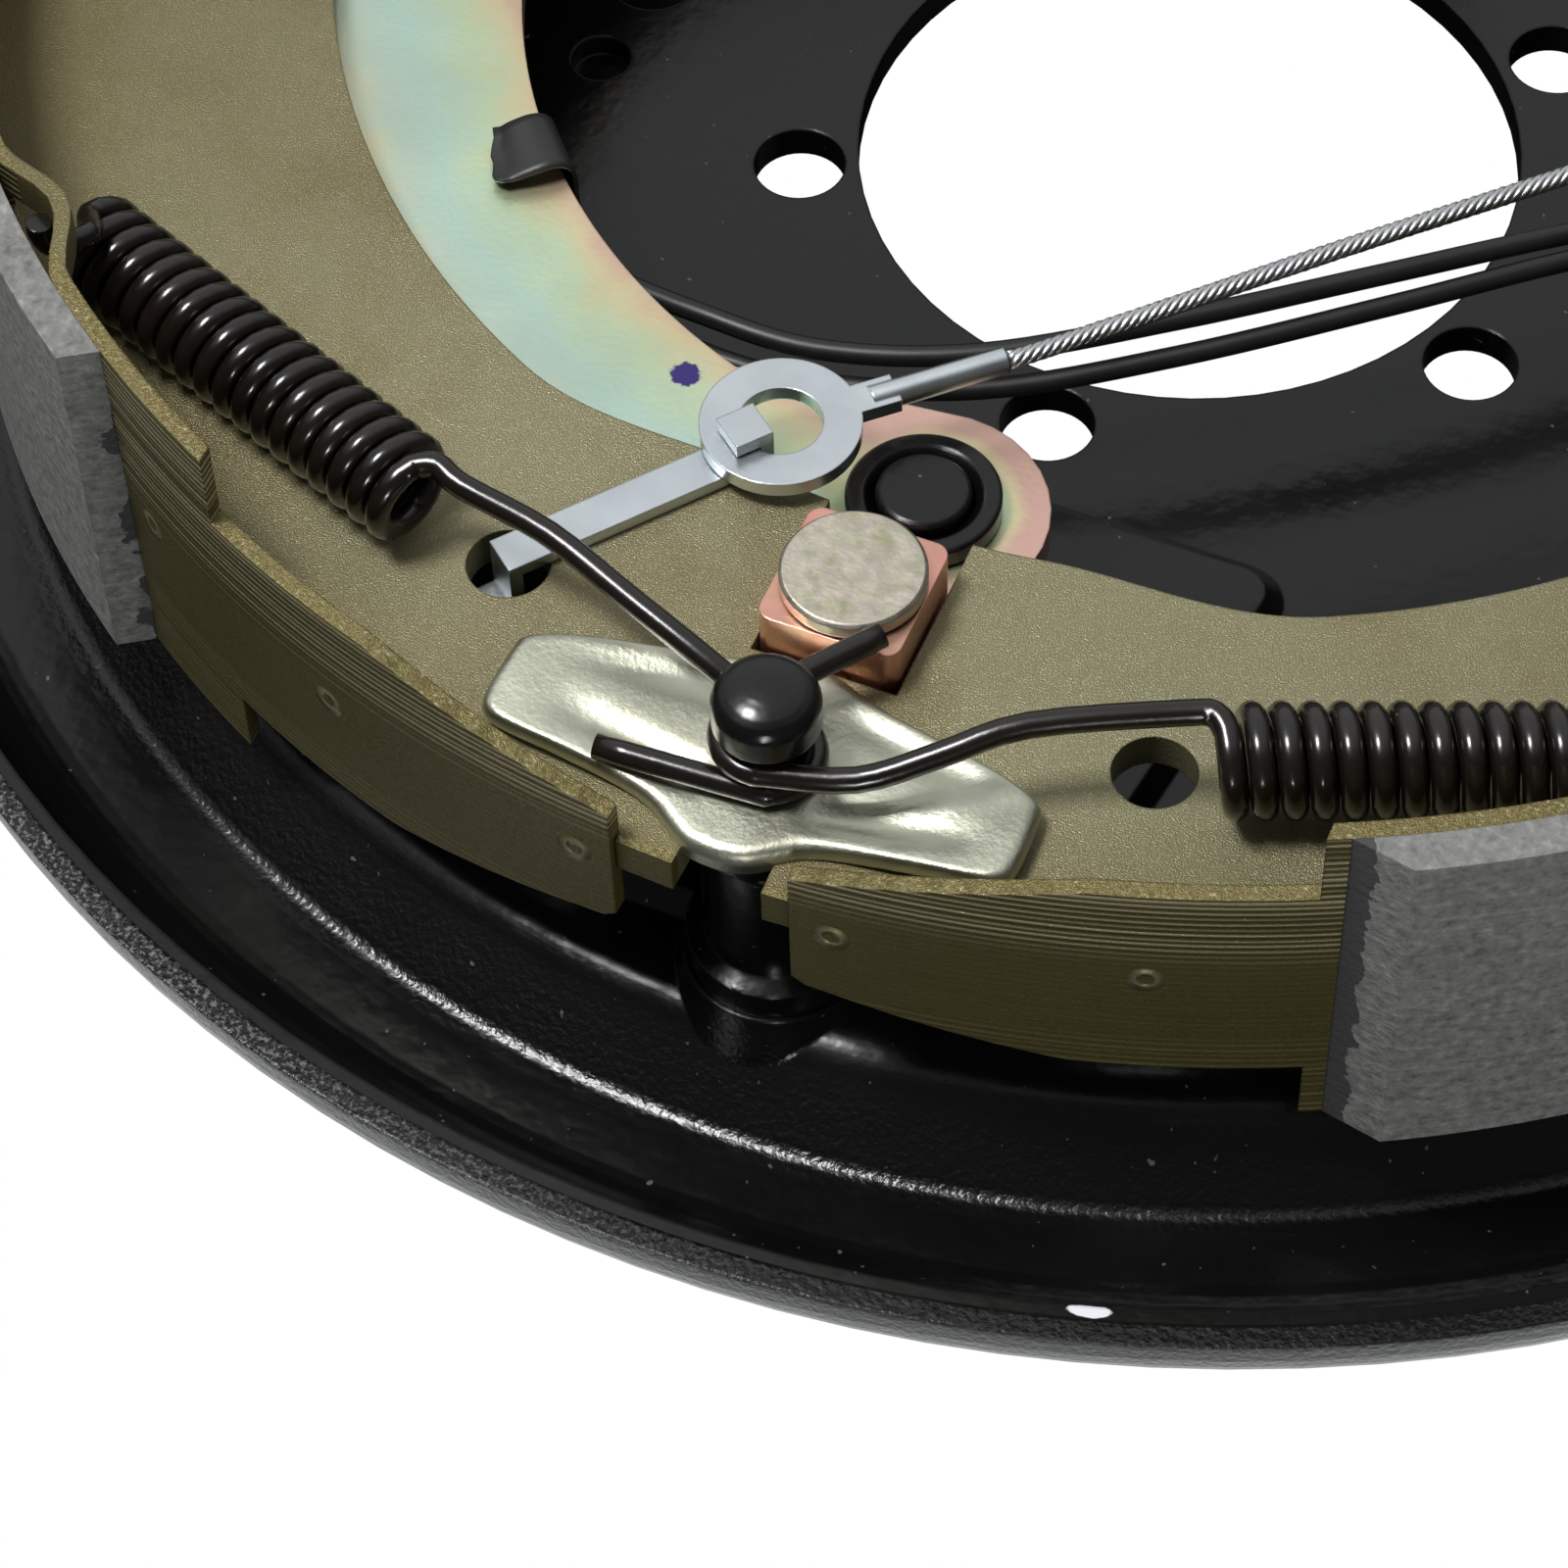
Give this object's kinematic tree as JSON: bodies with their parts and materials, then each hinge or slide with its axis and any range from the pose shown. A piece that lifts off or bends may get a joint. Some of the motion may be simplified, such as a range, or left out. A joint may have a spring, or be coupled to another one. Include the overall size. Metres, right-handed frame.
{
  "type": "electric drum brake assembly",
  "caption": "Electric drum brake for a trailer wheel: pressed backing plate with two lined shoes, cam lever, magnet, return springs and self-adjuster.",
  "frame": {"origin": "centre of the hub hole, on the upper face of the backing plate's flat centre", "axes": "+Z along the wheel spindle towards the hub, +Y towards the anchor post, +X towards the primary shoe"},
  "size_m": [0.345, 0.345, 0.0705],
  "materials": {
    "black_enamel": "gloss",
    "iridescent_zinc": "satin",
    "copper_zinc": "satin",
    "yellow_zinc": "satin",
    "pale_zinc": "satin",
    "olive_zinc": "satin",
    "friction": "matte",
    "spring_steel": "gloss",
    "blue_zinc": "satin",
    "wire_rope": "satin",
    "magnet_resin": "matte",
    "magnet_iron": "satin",
    "lead_rubber": "satin",
    "rubber_black": "matte"
  },
  "bodies": {
    "root": {"backing_plate": "black_enamel", "anchor_post": "black_enamel", "lever_pivot_post": "black_enamel", "pivot_ring": "black_enamel", "shoe_guide_plate": "pale_zinc", "primary_return_spring": "spring_steel", "secondary_return_spring": "spring_steel", "hold_down_pins": "blue_zinc", "hold_down_springs": "spring_steel", "hold_down_cups": "pale_zinc", "magnet_lead_a": "lead_rubber", "magnet_lead_b": "lead_rubber", "lead_grommet": "rubber_black", "adjuster_slot_plugs": "rubber_black"},
    "lever": {"actuating_lever": "iridescent_zinc", "block_pin": "yellow_zinc", "magnet_post": "blue_zinc", "magnet_spring": "spring_steel", "magnet_retainer": "blue_zinc", "lead_clip": "spring_steel"},
    "cam_block": {"cam_block": "copper_zinc"},
    "magnet": {"magnet_body": "magnet_resin", "magnet_face": "magnet_iron"},
    "secondary_shoe": {"secondary_web": "olive_zinc", "secondary_table": "olive_zinc", "secondary_lining": "friction", "cable_guide": "blue_zinc", "adjuster_cable": "wire_rope", "adjuster_sleeve": "pale_zinc", "adjuster_socket": "pale_zinc", "thrust_washer": "blue_zinc", "pawl_pin": "blue_zinc", "shoe_spring": "spring_steel"},
    "star_wheel": {"star_wheel_screw": "blue_zinc"},
    "pawl": {"adjuster_pawl": "pale_zinc"},
    "primary_shoe": {"primary_web": "olive_zinc", "primary_table": "olive_zinc", "primary_lining": "friction", "cable_link": "blue_zinc", "cable_eyelet": "blue_zinc"}
  },
  "joints": [
    {"name": "lever_swing", "type": "hinge", "parent": "root", "child": "lever", "pos_m": [0, 0.088, 0.0268], "axis": [0, 0, 1], "range_deg": [-4, 0], "stiffness_Nm_per_rad": 2, "deforming": ["magnet_lead_a", "magnet_lead_b"]},
    {"name": "block_turn", "type": "hinge", "parent": "lever", "child": "cam_block", "pos_m": [0, 0.108, 0.0345], "axis": [0, 0, 1], "range_deg": [0, 4.2]},
    {"name": "magnet_slide", "type": "slide", "parent": "lever", "child": "magnet", "axis": [0, 0, 1], "range_m": [-0.003, 0], "stiffness_N_per_m": 3000, "springref_m": 0.002, "deforming": ["magnet_spring"]},
    {"name": "secondary_shift", "type": "hinge", "parent": "root", "child": "secondary_shoe", "pos_m": [0, 0.1315, 0.032], "axis": [0, 0, 1], "range_deg": [-0.27, 0], "deforming": ["secondary_return_spring", "shoe_spring"]},
    {"name": "star_wheel_spin", "type": "hinge", "parent": "secondary_shoe", "child": "star_wheel", "pos_m": [0, -0.127, 0.032], "axis": [1, 0, 0], "continuous": true},
    {"name": "pawl_swing", "type": "hinge", "parent": "secondary_shoe", "child": "pawl", "pos_m": [-0.058, -0.112, 0.0357], "axis": [0, 0, 1], "range_deg": [-1.1, 0]},
    {"name": "primary_spread", "type": "hinge", "parent": "secondary_shoe", "child": "primary_shoe", "pos_m": [0.038, -0.127, 0.032], "axis": [0, 0, 1], "range_deg": [-0.4, 0], "deforming": ["primary_return_spring", "adjuster_cable"]}
  ],
  "couplings": [
    {"joint": "block_turn", "follows": "lever_swing", "ratio": -1},
    {"joint": "secondary_shift", "follows": "lever_swing", "ratio": 0.0625},
    {"joint": "pawl_swing", "follows": "lever_swing", "ratio": 0.25},
    {"joint": "primary_spread", "follows": "lever_swing", "ratio": 0.0915}
  ]
}
